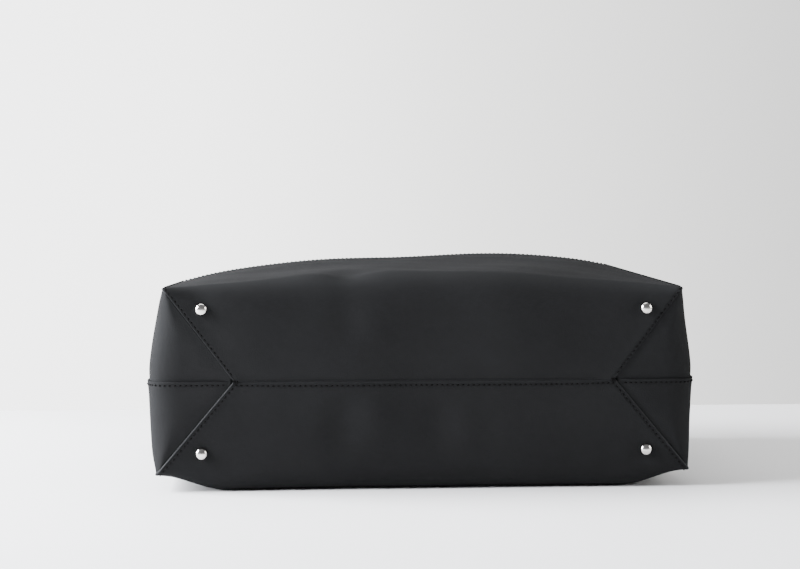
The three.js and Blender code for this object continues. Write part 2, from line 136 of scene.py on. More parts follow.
def shell(side, s, level, inset=0.0, lift=0.0, softer=0.0):
    """Points of the bag's surface: s runs from -1 to 1 between corner seams, level from the base's middle."""
    s, level = np.broadcast_arrays(np.asarray(s, float), np.asarray(level, float))
    d = level - HALF_Z
    corner_in, corner_up = fold(d, CORNER_R + softer)
    own_in, own_up = fold(d, CORNER_R + (FOLD_R[side] - CORNER_R) * (1 - s**4) + softer)
    spread = np.sin(math.pi / 2 * np.clip(level / HALF_Z, -1, 1))
    rise = own_up / HEIGHT
    half = HALF_X - SPREAD_X * {"front": 1, "back": -1}.get(side, s)
    slant = (half - RIDGE) / HALF_Z
    y = BASE_Y + lift + own_up
    if side in ("front", "back"):
        x = s * (half - inset + slant * corner_in) * (1 + FLARE * corner_up / HEIGHT)
        if side == "front":
            low = EDGE_BOW * spread * np.maximum(1 - s * s, 0) ** 1.2
            seam_rise = FRONT_RISE["left"] + (FRONT_RISE["right"] - FRONT_RISE["left"]) * (s + 1) / 2
            high = HEM_BOW * (1 - np.abs(s) ** 3.3) + seam_rise
            z = MID_Z + HALF_Z - inset + own_in + low + (high - low) * rise
        else:
            seam = MID_Z - HALF_Z - BACK_DROP * rise
            flat = smooth((1 - np.abs(s)) / (1 - FLAT_PART)) * spread
            z = seam * (1 - flat) + inset - own_in
        return np.stack([x, y, z], -1)
    bow = (SIDE_BOW * spread - (SIDE_BOW - SIDE_HEM_BOW) * rise) * (1 - np.abs(s) ** 1.6)
    x = (half - inset + slant * own_in) * (1 + FLARE * own_up / HEIGHT) + bow
    top = MID_Z + HALF_Z - inset + corner_in + FRONT_RISE[side] * corner_up / HEIGHT
    low = MID_Z - HALF_Z + inset - corner_in - BACK_DROP * corner_up / HEIGHT
    z = (top + low) / 2 + s * (top - low) / 2
    return np.stack([-x if side == "left" else x, y, z], -1)


def outward(side, s, level, **layer):
    """Unit normals of the shell, pointing away from the bag's inside."""
    step = 0.4
    s = np.asarray(s, float)
    low, high = np.maximum(s - step / HALF_X, -1), np.minimum(s + step / HALF_X, 1)
    across = shell(side, high, level, **layer) - shell(side, low, level, **layer)
    along = shell(side, s, level + step, **layer) - shell(side, s, level - step, **layer)
    n = unit(np.cross(across, along))
    inside = np.array([0, BASE_Y + HEIGHT / 3, MID_Z]) - shell(side, s, level, **layer)
    return n * -np.sign(np.sum(n * inside, -1, keepdims=True))


# Soft dents and swells of the leather: centre (x, z or y), size along each, height; y values are on a wall
BASE_RELIEF = [
    # x, z, width in x, width in z, height
    (-169, 137, 9, 9, -1.1),
    (169, 137, 9, 9, -1.1),
    (-169, 29, 9, 9, -1.1),
    (169, 29, 9, 9, -1.1),
    (-178, 146, 14, 10, -1.2),
    (-64, 52, 13, 21, -1.9),
    (-38, 54, 14, 22, 1.3),
    (-98, 54, 14, 20, -0.5),
    (10, 50, 13, 20, -1.3),
    (46, 48, 12, 20, -0.9),
    (88, 44, 24, 24, 0.5),
    (-60, 128, 15, 20, -1.8),
    (60, 110, 70, 24, 0.9),
    (-30, 104, 60, 16, -0.5),
    (128, 112, 30, 26, -0.8),
    (-140, 118, 22, 22, 0.7),
]
FRONT_RELIEF = [
    # x, y, width in x, width in y, height, on the front panel
    (-58, -128, 16, 34, -3.2),
    (-84, -110, 20, 46, 1.2),
    (-20, -112, 26, 60, 0.9),
    (70, -60, 60, 70, 0.8),
    (-120, 0, 40, 80, -1.4),
    (20, 40, 70, 60, -1.2),
    (130, 60, 40, 70, 0.8),
]
SIDE_RELIEF = [
    # z, y, width in z, width in y, height, on both side panels
    (118, -40, 26, 60, -2.2),
    (46, 0, 24, 70, -2.0),
    (84, 70, 40, 50, -1.5),
]


def ripple(u, v):
    """Gentle unevenness of hide, from a few fixed waves, about one millimetre high in all."""
    return (
        0.32 * np.sin(u / 31 + 1.3) * np.sin(v / 23 + 0.4)
        + 0.22 * np.sin(u / 17 - v / 29 + 2.1)
        + 0.14 * np.sin(u / 11 + v / 13 + 0.7) * np.sin(v / 37)
    )


def swells(u, v, table):
    return sum(height * bell(u - cu, wu) * bell(v - cv, wv) for cu, cv, wu, wv, height in table)


def relief(side, points):
    """How far the leather stands out from the plain shell at each point."""
    x, y, z = points[..., 0], points[..., 1], points[..., 2]
    wall = smooth((y - BASE_Y) / 24)
    base = ripple(x, z) + swells(x, z, BASE_RELIEF)
    own = 0.0
    if side == "front":
        own = 1.6 * ripple(x * 0.8, y * 0.8) + swells(x, y, FRONT_RELIEF)
    elif side in ("left", "right"):
        own = 1.5 * ripple(z * 1.3, y * 0.9) + swells(z, y, SIDE_RELIEF)
    return base * (1 - wall) + own * wall


def seam_calm(side, s, level):
    """1 away from the corner seams and the centre seam, falling to 0 on them, so that panels still meet."""
    if side in ("front", "back"):
        from_corner = (1 - np.abs(s)) * (RIDGE + SLANT * np.minimum(level, HALF_Z))
        return smooth(from_corner / 26) * smooth((np.abs(level) + 4) / 20)
    from_corner = (1 - np.abs(s)) * np.minimum(np.maximum(level, 1), HALF_Z)
    return smooth(from_corner / 22)


def placed(side, s, level, out=0.0, **layer):
    """Points of a layer of the bag, with the leather's relief, raised by out."""
    points = shell(side, s, level, **layer)
    relieved = relief(side, points) * seam_calm(side, s, level) + out
    return points + outward(side, s, level, **layer) * relieved[..., None]


def lap(side, half, s, level):
    """The step at the lapped seams: main panels over side panels, back over front at the centre seam."""
    reach = np.minimum(np.maximum(level, 1.0), HALF_Z)
    if side in ("front", "back"):
        from_diagonal = (1 - np.abs(s)) * (RIDGE + SLANT * reach) * DIAGONAL
        stand = LAP if side == "back" else FRONT_LAP
        step = stand * bell(from_diagonal, 7)
        own_seam = LAP * bell(np.asarray(level), 7) * (1 if side == "back" else -1)
        groove = -GROOVE * bell(from_diagonal - (SEAM_IN if side == "back" else FRONT_IN), GROOVE_WIDTH)
        if side == "back":
            groove = groove - GROOVE * bell(np.asarray(level) - SEAM_IN, GROOVE_WIDTH)
        return step + own_seam * (1 - bell(from_diagonal, 9)) + groove
    from_diagonal = (1 - np.abs(s)) * reach * DIAGONAL * 1.25
    from_middle = np.abs(s) * reach
    step = -(LAP if half < 0 else FRONT_LAP) * bell(from_diagonal, 7)
    own_seam = LAP * bell(from_middle, 6) * (1 if half < 0 else -1)
    groove = -GROOVE * bell(from_middle - SEAM_IN, GROOVE_WIDTH) if half < 0 else 0.0
    return step + (own_seam + groove) * (1 - bell(from_diagonal, 6))


def edge_drop(d):
    """The rounded fall of a cut and painted edge, at distance d in from it."""
    return 0.9 * (1 - rounded(d, 1.3))


# ---------- mesh making

def in_scene(name, data):
    thing = bpy.data.objects.new(name, data)
    bpy.context.scene.collection.objects.link(thing)
    return thing


def mesh_object(name, points, faces, material):
    """An object in the scene, from points in metres."""
    mesh = bpy.data.meshes.new(name)
    mesh.from_pydata(points, [], faces)
    mesh.materials.append(material)
    return in_scene(name, mesh)


def make_mesh(name, surface, material, body="bag", node=None, soft=True):
    """A piece from (points, faces) that moves with its body and stands for the CAD node, if it names one."""
    points, faces = surface
    piece = mesh_object(name, (np.asarray(points, float) * MM).tolist(), faces, material)
    if soft:
        piece.data.shade_smooth()
    piece.data.update()
    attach(piece, body)
    if node:
        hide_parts(node)
    return piece


def sewn(name, runs, body="bag"):
    """One piece for several rows of stitches."""
    make_mesh(name, joined(runs), SHADED_THREAD, body)


def tube_faces(rings, sides, start=0, closed=False):
    """Faces of a tube of rings of points, capped unless it closes on itself."""
    faces = []
    for i in range(rings if closed else rings - 1):
        ring, after = start + i * sides, start + (i + 1) % rings * sides
        for j in range(sides):
            k = (j + 1) % sides
            faces.append((ring + j, ring + k, after + k, after + j))
    if not closed:
        last = start + (rings - 1) * sides
        faces += [tuple(range(start, start + sides))[::-1], tuple(range(last, last + sides))]
    return faces


def closed_sheet(outer, inner):
    """Points and faces of a sheet with thickness from two grids of the same shape."""
    rows, columns = outer.shape[:2]
    count = rows * columns
    points = np.concatenate([outer.reshape(-1, 3), inner.reshape(-1, 3)])
    ids = np.arange(count).reshape(rows, columns)
    quads = np.stack([ids[:-1, :-1], ids[:-1, 1:], ids[1:, 1:], ids[1:, :-1]], -1).reshape(-1, 4)
    faces = [*quads.tolist(), *(quads[:, ::-1] + count).tolist()]
    rim = [*ids[0, :-1], *ids[:-1, -1], *ids[-1, :0:-1], *ids[:0:-1, 0]]
    for a, b in zip(rim, rim[1:] + rim[:1]):
        faces.append((b, a, a + count, b + count))
    middle = (rows // 2, columns // 2)
    e1 = outer[middle[0], middle[1] + 1] - outer[middle]
    e2 = outer[middle[0] + 1, middle[1]] - outer[middle]
    if np.dot(np.cross(e1, e2), outer[middle] - inner[middle]) < 0:
        faces = [f[::-1] for f in faces]
    return points, faces


def spaced(*stops):
    """Values from (start, end, step) runs, without repeats."""
    values = []
    for start, end, step in stops:
        count = max(1, round((end - start) / step))
        values += [start + (end - start) * k / count for k in range(count)]
    return np.array(values + [stops[-1][1]])


WALL_LEVELS = [(12, 48, 2.4), (48, 92, 1.2), (92, 345, 5.5), (345, TOP, 2.0)]
LEVELS = spaced((0.0, 3.2, 0.4), (3.2, 12, 0.8), *WALL_LEVELS)


def panel_grid(side):
    """s and level values of a main panel, closer together near its seams."""
    near = 3.2 / HALF_X
    wide = 14 / HALF_X
    fine, middling, coarse = 0.4 / HALF_X, 1.0 / HALF_X, 2.6 / HALF_X
    s = spaced((-1, -1 + near, fine), (-1 + near, -1 + wide, middling), (-1 + wide, 1 - wide, coarse),
               (1 - wide, 1 - near, middling), (1 - near, 1, fine))
    levels = LEVELS if side == "back" else np.concatenate([[-8.0, -4.0, -2.0], LEVELS])
    return np.meshgrid(s, levels)


def main_panel(side):
    """A panel from hem to centre seam; the edges that show are painted."""
    s, level = panel_grid(side)
    from_diagonal = (1 - np.abs(s)) * (RIDGE + SLANT * np.clip(level, 0, HALF_Z)) * DIAGONAL
    out = lap(side, 0, s, level) - edge_drop(from_diagonal)
    if side == "back":
        out = out - edge_drop(level)
    outer = placed(side, s, level, out)
    inner = placed(side, s, level, lap(side, 0, s, level) - SHEET)
    points, faces = closed_sheet(outer, inner)
    piece = make_mesh(f"leather_{side}_panel", (points, faces), LEATHER, node=f"{side}_panel")
    piece.data.materials.append(LEATHER_EDGE)
    rows, columns = s.shape
    rim_start = 2 * (rows - 1) * (columns - 1)
    painted = [k >= rim_start for k in range(len(faces))]
    if side == "back":
        for j in range(rows - 1):
            for i in list(range(3)) + list(range(columns - 4, columns - 1)):
                painted[j * (columns - 1) + i] = True
    piece.data.polygons.foreach_set("material_index", [int(p) for p in painted])


def side_half(side, half):
    """Half a side panel; it runs on under the main panel's edge, and the front half under the back half."""
    levels = spaced((2.0, 12, 0.9), *WALL_LEVELS)
    share = spaced((0, 10, 1), (10, 60, 2.8), (60, 70, 1)) / 70
    u, level = np.meshgrid(share, levels)
    reach = np.minimum(level, HALF_Z)
    near = np.maximum(-5.0 / reach, -0.8) if half > 0 else 0.0
    far = 1 - np.where(level < HALF_Z - 6, 0.0, 0.1) / reach
    s = half * (near + (far - near) * u)
    under = lap(side, half, s, level)
    outer = placed(side, s, level, under)
    inner = placed(side, s, level, under - SHEET)
    name = "front" if half > 0 else "back"
    make_mesh(f"leather_side_{side}_{name}", closed_sheet(outer, inner), LEATHER, node=f"side_{side}_{name}")


def facing(side, reach):
    count = 90 if side in ("front", "back") else 36
    s, level = np.meshgrid(np.linspace(-reach, reach, count), spaced((TOP - FACING_DEPTH, TOP, 3.5)))
    outer = placed(side, s, level, inset=FACING_IN - 1.5)
    inner = placed(side, s, level, inset=FACING_IN)
    make_mesh(f"hem_facing_{side}", closed_sheet(outer, inner), LEATHER, node=f"facing_{side}")


def hem_fold(side):
    """The turned edge that closes the top of a panel and its facing."""
    count, reach = (140, 1.0) if side in ("front", "back") else (50, 0.985)
    s = np.linspace(-reach, reach, count)
    level = np.full(count, TOP - 2.0)
    outside, inside = (placed(side, s, level, out) for out in HEM_FACES)
    middle = (outside + inside) / 2
    half_width = (outside - inside) / 2
    up = np.array([0, 1.0, 0])
    crown = up * HEM_RISE
    turns = math.pi * np.arange(9) / 8
    outer = np.stack([middle + half_width * math.cos(turn) + crown * math.sin(turn) for turn in turns])
    inner = outer * 0.6 + (middle - up * 0.5) * 0.4
    make_mesh(f"hem_edge_{side}", closed_sheet(outer, inner), LEATHER)


def lining_sheet(side, reach):
    """The lining, whose inner face is slack between its seams."""
    count, start = (100, 4.0) if side in ("front", "back") else (44, 14.0)
    end = TOP - FACING_DEPTH - LINING_LIFT - 1.4
    levels = spaced((start, 50, 4), (50, 100, 2.5), (100, end, 4.5))
    s, level = np.meshgrid(np.linspace(-reach, reach, count), levels)
    x = s * 200
    slack = -0.5 - 0.5 * np.sin(x / 21 + 0.6 * np.sin(level / 33)) * np.sin(level / 47 + 0.5)
    slack = 0.8 * slack * smooth((1 - np.abs(s)) * 8)
    outer = placed(side, s, level, inset=2.9, lift=LINING_LIFT, softer=4.0)
    inner = placed(side, s, level, slack, inset=3.6, lift=LINING_LIFT + 0.8, softer=4.0)
    make_mesh(f"cloth_lining_{side}", closed_sheet(outer, inner), LINING, node=f"lining_{side}")


# ---------- stitches

def length_along(path):
    steps = np.linalg.norm(np.diff(path, axis=0), axis=1)
    return np.concatenate([[0], np.cumsum(steps)])


def stitch_run(path, normals, pitch=STITCH, radius=0.66):
    """Points and faces of one row of stitches: short threads that rise out of the leather and dip back in."""
    reach = length_along(path)
    count = max(1, int(round(reach[-1] / pitch)))
    gap = reach[-1] / count
    points, faces = [], []
    rings, sides, length = 7, 6, 0.64
    for k in range(count):
        along = gap * (k + 0.5) + gap * length * np.linspace(-0.5, 0.5, rings)
        centre = np.stack([np.interp(along, reach, path[:, i]) for i in range(3)], -1)
        normal = unit(np.stack([np.interp(along, reach, normals[:, i]) for i in range(3)], -1))
        binormal = np.cross(normal, unit(np.gradient(centre, axis=0)))
        t = np.linspace(-1, 1, rings)
        lift = 0.30 * (1 - t**2) - 0.42 * t**4
        thick = radius * np.sqrt(1 - 0.8 * t**2)
        start = len(points)
        for i in range(rings):
            for j in range(sides):
                a = 2 * math.pi * j / sides
                offset = binormal[i] * math.cos(a) + normal[i] * math.sin(a)
                points.append(centre[i] + normal[i] * lift[i] + offset * thick[i])
        faces += tube_faces(rings, sides, start)
    return points, faces


def joined(runs):
    """One set of points and faces from several; the table at z = 0 presses up what lies under the bag."""
    points, faces = [], []
    for run_points, run_faces in runs:
        start = len(points)
        points += [(x, y, max(z, 0.1)) for x, y, z in run_points]
        faces += [tuple(start + i for i in f) for f in run_faces]
    return points, faces


def seam_path(side, half, s, level):
    return placed(side, s, level, lap(side, half, s, level)), outward(side, s, level)


def base_stitches():
    """Rows along the four diagonals and up the corner seams, and along the centre seam and up the sides."""
    runs = []
    upper = [(60, 84, 1), (84, TOP - 3, 3)]
    levels = spaced((4, 60, 2), *upper)
    for side, row in (("front", FRONT_IN), ("back", SEAM_IN)):
        for end in (-1, 1):
            s = end * (1 - row / DIAGONAL / (RIDGE + SLANT * np.minimum(levels, HALF_Z)))
            runs.append(stitch_run(*seam_path(side, 0, s, levels)))
    s = np.linspace(-0.985, 0.985, 200)
    runs.append(stitch_run(*seam_path("back", 0, s, np.full(200, SEAM_IN))))
    levels = spaced((6, 60, 2), *upper)
    for side in ("left", "right"):
        runs.append(stitch_run(*seam_path(side, -1, -SEAM_IN / np.minimum(levels, HALF_Z), levels)))
    sewn("seam_stitches", runs)


def hem_stitches():
    runs = []
    count = 160
    level = np.full(count, TOP - HEM_IN)
    for side, reach, half in (("front", 0.985, 0), ("back", 0.985, 0), ("left", 0.95, 1), ("right", 0.95, 1)):
        s = np.linspace(-reach, reach, count)
        path, normals = seam_path(side, half, s, level)
        runs.append(stitch_run(path, normals))
        runs.append(stitch_run(placed(side, s, level, inset=FACING_IN), -normals))
    sewn("hem_stitches", runs)


def junction_scraps():
    """The leather patch sewn in behind each point where five edges meet."""
    for name, sign in (("left", -1), ("right", 1)):
        x, z = np.meshgrid(sign * RIDGE + np.linspace(-8, 8, 14), MID_Z + np.linspace(-8, 8, 14))
        deep = BASE_Y + SHEET + LAP + 0.3 + 0.02 * np.hypot(x - sign * RIDGE, z - MID_Z)
        outer = np.stack([x, deep, z], -1)
        inner = np.stack([x, deep + 0.9, z], -1)
        make_mesh(f"junction_patch_{name}", closed_sheet(outer, inner), LEATHER)


def bar_tacks():
    """The few upright stitches that lock the seams where they meet on the base."""
    runs = []
    z = MID_Z + np.linspace(-2.6, 1.6, 8)
    y = np.full(8, BASE_Y - LAP - 0.15)
    for sign in (-1, 1):
        for offset in (-1.3, 0.0, 1.3):
            path = np.stack([np.full(8, sign * (RIDGE - 1.5 + offset)), y, z], -1)
            runs.append(stitch_run(path, np.tile([0, -1.0, 0], (8, 1)), pitch=4.2))
    sewn("junction_tacks", runs)


# ---------- materials

def new_material(name):
    """A material, its node tree, the piece's own coordinates and the shader."""
    material = bpy.data.materials.new(name)
    material.use_nodes = True
    tree = material.node_tree
    coords = tree.nodes.new("ShaderNodeTexCoord").outputs["Object"]
    return material, tree, coords, tree.nodes["Principled BSDF"]


def shader_node(tree, kind, links, values):
    """A node whose inputs, by name or number, are linked to sockets or set to values."""
    node = tree.nodes.new(f"ShaderNode{kind}")
    for name, socket in links.items():
        tree.links.new(socket, node.inputs[name])
    for name, value in values.items():
        node.inputs[name].default_value = value
    return node


def noise(tree, coords, scale, detail=4.0, roughness=0.5):
    values = {"Scale": scale, "Detail": detail, "Roughness": roughness}
    return shader_node(tree, "TexNoise", {"Vector": coords}, values).outputs["Fac"]


def ramp(tree, value, stops):
    mix = tree.nodes.new("ShaderNodeValToRGB")
    ends = mix.color_ramp.elements
    ends[0].position, ends[0].color = stops[0]
    ends[1].position, ends[1].color = stops[-1]
    for position, color in stops[1:-1]:
        ends.new(position).color = color
    tree.links.new(value, mix.inputs["Fac"])
    return mix.outputs["Color"]


def mottle(tree, shader, value, dark, light, spread=0.2):
    """A base colour that goes from dark to light with the value."""
    color = ramp(tree, value, [(0.5 - spread, dark), (0.5 + spread, light)])
    tree.links.new(color, shader.inputs["Base Color"])


def gloss(tree, shader, value, low, high):
    span = shader_node(tree, "MapRange", {"Value": value}, {"To Min": low, "To Max": high})
    tree.links.new(span.outputs["Result"], shader.inputs["Roughness"])


def bumps(tree, shader, heights):
    """Chains one bump node for each (height, strength, distance in metres)."""
    links = {}
    for height, strength, distance in heights:
        links["Height"] = height
        bump = shader_node(tree, "Bump", links, {"Strength": strength, "Distance": distance})
        links["Normal"] = bump.outputs["Normal"]
    tree.links.new(links["Normal"], shader.inputs["Normal"])


def gray(v, tint=0.0):
    """A gray that leans towards blue by the tint."""
    return (v * (1 - tint), v, v * (1 + 1.6 * tint), 1.0)


def leather_material(name, dark, light, roughness, grain=1.0):
    """Smooth matte black leather: fine pebbled grain, faint pores, slow changes of tone and gloss."""
    material, tree, coords, shader = new_material(name)
    mottle(tree, shader, noise(tree, coords, 9.0, 3.0), dark, light)
    gloss(tree, shader, noise(tree, coords, 120.0), roughness - 0.05, roughness + 0.08)
    shader.inputs["Specular IOR Level"].default_value = 0.026
    cells = shader_node(tree, "TexVoronoi", {"Vector": coords}, {"Scale": 1100.0})
    cells.feature = "SMOOTH_F1"
    cells.inputs["Smoothness"].default_value = 0.6
    creases = noise(tree, coords, 260.0, 5.0, 0.6)
    pores = noise(tree, coords, 2600.0, 3.0)
    bumps(tree, shader, [
        (cells.outputs["Distance"], 0.35 * grain, 0.00022),
        (creases, 0.25 * grain, 0.0004),
        (pores, 0.2 * grain, 0.00008),
    ])
    return material


def added(tree, first, second):
    return shader_node(tree, "Math", {0: first, 1: second}, {}).outputs[0]


def cloth_material(name, dark, light, threads=900.0):
    """Plain woven cloth: crossing threads, slightly uneven in tone."""
    material, tree, coords, shader = new_material(name)
    weaves = []
    for direction in ("X", "Y", "Z"):
        values = {"Scale": threads / 6.0, "Distortion": 0.6, "Detail": 1.0}
        wave = shader_node(tree, "TexWave", {"Vector": coords}, values)
        wave.wave_type = "BANDS"
        wave.bands_direction = direction
        weaves.append(wave.outputs["Fac"])
    weave = added(tree, added(tree, weaves[0], weaves[1]), weaves[2])
    slow = noise(tree, coords, 30.0)
    mottle(tree, shader, slow, dark, light, spread=0.15)
    shader.inputs["Roughness"].default_value = 0.85
    shader.inputs["Sheen Weight"].default_value = 0.3
    bumps(tree, shader, [(weave, 0.5, 0.0002), (slow, 0.2, 0.001)])
    return material


def metal_material(name, color, roughness, scratch=0.1):
    """Plated metal: faint smears of roughness and fine scratches."""
    material, tree, coords, shader = new_material(name)
    gloss(tree, shader, noise(tree, coords, 160.0, 5.0), roughness * 0.7, roughness * 1.5)
    dim = tuple(0.9 * c for c in color[:3]) + (1.0,)
    mottle(tree, shader, noise(tree, coords, 40.0, 2.0), dim, color)
    shader.inputs["Metallic"].default_value = 1.0
    bumps(tree, shader, [(noise(tree, coords, 1500.0, 2.0), scratch, 0.00003)])
    return material


def fibre_material(name, grain, dark, light, roughness, specular, bump):
    """Thread or board: one fine noise of the given grain for both its tone and its bump."""
    material, tree, coords, shader = new_material(name)
    fibre = noise(tree, coords, *grain)
    mottle(tree, shader, fibre, dark, light)
    shader.inputs["Roughness"].default_value = roughness
    shader.inputs["Specular IOR Level"].default_value = specular
    bumps(tree, shader, [(fibre, *bump)])
    return material


LEATHER = leather_material("black_leather", gray(0.0098, 0.02), gray(0.013, 0.02), 0.8)
LEATHER_EDGE = leather_material("painted_leather_edge", gray(0.02, 0.02), gray(0.03, 0.02), 0.35, grain=0.3)
LINING = cloth_material("lining_weave", (0.24, 0.235, 0.22, 1), (0.32, 0.31, 0.295, 1))
TAPE = cloth_material("zip_tape_weave", gray(0.008), gray(0.016), threads=1500.0)
NICKEL = metal_material("polished_nickel", (0.66, 0.64, 0.61, 1.0), 0.14)
TEETH_METAL = metal_material("zip_metal", (0.62, 0.62, 0.62, 1.0), 0.28, scratch=0.3)
# The thread's near-black, darker than the leather, is its own black with painted shade of the stitch holes
# and grooves added.
SHADED_THREAD = fibre_material("black_thread_painted_shade", (1800.0, 2.0), gray(0.002), gray(0.006), 0.85, 0.05, (0.5, 0.0002))
BOARD = fibre_material("grey_board", (700.0, 6.0, 0.7), (0.2, 0.16, 0.11, 1), (0.36, 0.3, 0.22, 1), 0.9, 0.5,
                       (0.4, 0.0003))
SLOT_MATERIAL = {"leather_black": LEATHER, "lining_fabric": LINING, "board": BOARD, "nickel": NICKEL,
                 "zip_tape": TAPE, "zip_metal": TEETH_METAL}
SLOT_OF = {material.name: slot for slot, material in SLOT_MATERIAL.items()}
SLOT_OF[SHADED_THREAD.name] = "leather_black"


def cad_box_of(node):
    """The CAD node's middle and half its size, in millimetres."""
    low, high = (np.array(corner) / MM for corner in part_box(node))
    return (low + high) / 2, (high - low) / 2


# ---------- feet

def turned(outline, centre):
    """A solid of revolution about the Y axis from (radius, y) points."""
    sides = 48
    points = []
    for r, y in outline:
        for k in range(sides):
            a = 2 * math.pi * k / sides
            points.append((centre[0] + r * math.cos(a), centre[1] + y, centre[2] + r * math.sin(a)))
    faces = tube_faces(len(outline), sides)[:-2]
    for y, ring in ((outline[0][1], 0), (outline[-1][1], len(outline) - 1)):
        points.append((centre[0], centre[1] + y, centre[2]))
        apex = len(points) - 1
        for k in range(sides):
            a, b = ring * sides + k, ring * sides + (k + 1) % sides
            faces.append((a, apex, b) if ring == 0 else (a, b, apex))
    return points, faces


def foot_outline():
    """A dome with a rolled rim and the shank behind it, from its crown inwards."""
    turns = np.linspace(0.03, math.pi / 2, 14)
    dome = [(FOOT_R * math.sin(a), -FOOT_HEIGHT * math.cos(a) - 0.35) for a in turns]
    rim = [(FOOT_R - 0.12, 0.0), (FOOT_R - 0.5, 0.15), (1.8, 0.2), (1.8, 5.9)]
    return dome + rim


def make_feet():
    for across in ("left", "right"):
        for up in ("front", "back"):
            node = f"foot_{up}_{across}"
            middle = cad_box_of(node)[0]
            middle[1] = BASE_Y
            make_mesh(f"domed_{node}", turned(foot_outline(), middle), NICKEL, node=node)


# ---------- straps, rings and handles

def swept(sections, closed=False):
    """Points and faces of a tube through rings of points, capped unless it closes on itself."""
    points = sections.reshape(-1, 3)
    faces = tube_faces(*sections.shape[:2], closed=closed)
    first = sections[0]
    turn = np.cross(first[1] - first[0], sections[1].mean(0) - first.mean(0))
    if np.dot(turn, first[0] - first.mean(0)) < 0:
        faces = [f[::-1] for f in faces]
    return points, faces


def tube_sections(path, plane, radius, sides=14, closed=False):
    """Rings round a path that stays in the plane with the given normal."""
    ahead = np.roll(path, -1, 0) - np.roll(path, 1, 0)
    if not closed:
        ahead = np.gradient(path, axis=0)
    across = unit(np.cross(unit(ahead), plane))
    a = np.linspace(0, 2 * math.pi, sides, endpoint=False)
    return path[:, None] + radius * (
        np.cos(a)[None, :, None] * across[:, None] + np.sin(a)[None, :, None] * np.asarray(plane, float)
    )


def rounded_path(width, length, corner):
    """The centre line of a rounded rectangle that runs from y = 0 to length, as (x, y, 0) points."""
    per, spacing = 7, 2.5
    points = []
    for sx, end, start in ((1, 1, 0), (-1, 1, 90), (-1, 0, 180), (1, 0, 270)):
        cx = sx * (width / 2 - corner)
        cy = length - corner if end else corner
        for k in range(per + 1):
            a = math.radians(start + 90 * k / per)
            points.append((cx + corner * math.cos(a), cy + corner * math.sin(a), 0.0))
    even = []
    for a, b in zip(points, points[1:] + points[:1]):
        count = max(1, int(math.dist(a, b) / spacing))
        for k in range(count):
            even.append([a[i] + (b[i] - a[i]) * k / count for i in range(3)])
    return np.array(even)


def place_points(points, origin, tilt=0.0, sideways=False):
    """Points with their bar turned from X to Z, if sideways, then tilted about X and moved to the origin."""
    points = np.asarray(points, float)
    if sideways:
        points = points @ np.array([[0, 0, 1], [0, 1, 0], [-1, 0, 0]]).T
    c, s = math.cos(math.radians(tilt)), math.sin(math.radians(tilt))
    return points @ np.array([[1, 0, 0], [0, c, -s], [0, s, c]]).T + np.asarray(origin, float)


def wire_ring(node, body, origin, tilt=0.0, pitch=RING_PITCH, corner=2.6, sideways=False):
    path = rounded_path(RING_WIDTH, pitch, corner)
    points, faces = swept(tube_sections(path, (0, 0, 1), WIRE_R, closed=True), closed=True)
    make_mesh(f"wire_{node}", (place_points(points, origin, tilt, sideways), faces), NICKEL, body, node)


def strap_line(far, half):
    """The middle of a strip folded round a bar at y = 0, its layers meeting and running on to y = far."""
    sign = 1 if far > 0 else -1
    bite = math.asin(half / BEND_R)
    turns = np.linspace(bite, 2 * math.pi - bite, 22)
    bend = [(sign * BEND_R * math.cos(a), BEND_R * math.sin(a)) for a in turns]
    ends = [(far * t, half) for t in (1.0, 0.8, 0.6, 0.4)]
    line = ends + bend + [(y, -z) for y, z in ends[::-1]]
    return np.array([(0.0, y, z) for y, z in line])


def strap_loop(node, body, origin, far, layer, tilt=0.0, sideways=False):
    """A stitched strip folded round the bar at the origin and running on to y = far."""
    half = layer / 2
    thick = min(0.85, half)
    line = strap_line(far, half)
    ahead = unit(np.gradient(line, axis=0))
    inwards = np.stack([np.zeros(len(line)), -ahead[:, 2], ahead[:, 1]], -1)
    x = np.linspace(-1, 1, 17) * STRAP_WIDTH / 2
    rounding = rounded(STRAP_WIDTH / 2 - np.abs(x), 0.8, 0.04)
    grids = []
    for side in (1, -1):
        grid = line[:, None] + side * thick * rounding[None, :, None] * inwards[:, None]
        grid[..., 0] = x[None]
        grids.append(grid)
    points, faces = closed_sheet(*grids)
    make_mesh(f"strap_{node}", (place_points(points, origin, tilt, sideways), faces), LEATHER, body, node)
    runs = []
    sign = 1 if far > 0 else -1
    t = np.linspace(0, 1, 12)
    along = sign * 6.5 + (far - sign * 9.0) * t
    across = (2 * t - 1) * (STRAP_WIDTH / 2 - 3)
    edge = STRAP_WIDTH / 2 - 2.2
    for face in (1, -1):
        out = np.full(12, face * (half + thick - 0.05))
        normal = place_points([(0, 0, face)], (0, 0, 0), tilt, sideways)
        for x_row, y_row in ((-edge, along), (edge, along), (across, sign * 6.5)):
            row = np.stack([x_row + 0 * t, y_row + 0 * t, out], -1)
            seen = place_points(row, origin, tilt, sideways)
            runs.append(stitch_run(seen, np.tile(normal, (12, 1)), pitch=3.0, radius=FINE_STITCH))
    sewn(f"stitches_{node}", runs, body)


def catmull(points):
    """A centripetal Catmull-Rom curve through the points."""
    per = 15
    p = np.asarray(points, float)
    p = np.concatenate([[2 * p[0] - p[1]], p, [2 * p[-1] - p[-2]]])
    curve = []
    for i in range(1, len(p) - 2):
        a, b, c, d = p[i - 1 : i + 3]
        t0, t1, t2 = (math.dist(m, n) ** 0.5 for m, n in ((a, b), (b, c), (c, d)))
        m1 = ((b - a) / t0 - (c - a) / (t0 + t1) + (c - b) / t1) * t1
        m2 = ((c - b) / t1 - (d - b) / (t1 + t2) + (d - c) / t2) * t1
        for k in range(per):
            t = k / per
            h1 = 2 * t**3 - 3 * t**2 + 1
            h2 = t**3 - 2 * t**2 + t
            curve.append(h1 * b + h2 * m1 + (1 - h1) * c + (t**3 - t**2) * m2)
    return np.array(curve + [p[-2]])


